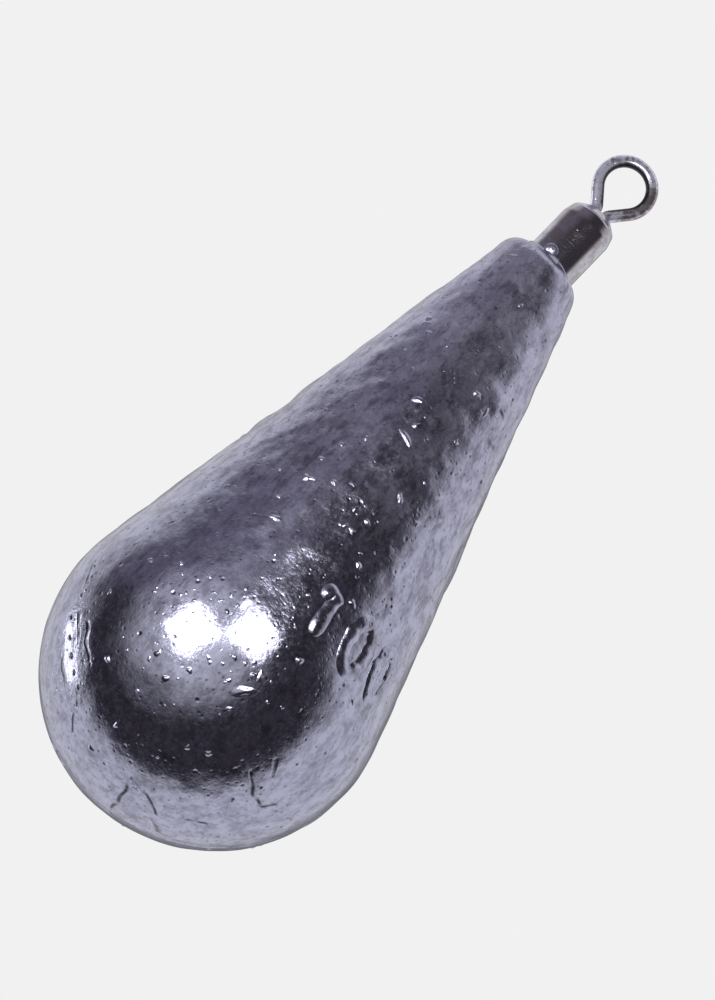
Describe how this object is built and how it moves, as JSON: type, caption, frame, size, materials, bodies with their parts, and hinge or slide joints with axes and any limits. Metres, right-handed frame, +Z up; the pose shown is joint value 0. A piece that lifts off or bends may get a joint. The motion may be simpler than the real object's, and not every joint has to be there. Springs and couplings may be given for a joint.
{
  "type": "fishing sinker",
  "caption": "Pear-shaped cast lead fishing sinker with a barrel swivel cast into its narrow end; the swivel's wire eye turns freely and takes the line.",
  "frame": {"origin": "the middle of the round part of the line eye, from which the sinker hangs", "axes": "+Z up along the lead's axis, from the ball to the swivel; +X is the side that the swivel leans to; the eye lies in the XZ plane and faces -Y"},
  "size_m": [0.022, 0.022, 0.0544],
  "materials": {
    "cast_lead": "cast lead, bluish grey, half bright and half dulled by oxide",
    "barrel_brass": "plated brass tube, darkened, with turned lines",
    "wire_steel": "bright drawn steel wire"
  },
  "bodies": {
    "eye": {"line_eye": "wire_steel"},
    "weight": {"lead_body": "cast_lead", "swivel_barrel": "barrel_brass", "anchor_eye": "wire_steel"}
  },
  "joints": [
    {"name": "eye_swivel", "type": "hinge", "parent": "eye", "child": "weight", "pos_m": [-0.00048, 0, -0.00546], "axis": [0.0872, 0, 0.9962], "continuous": true}
  ]
}
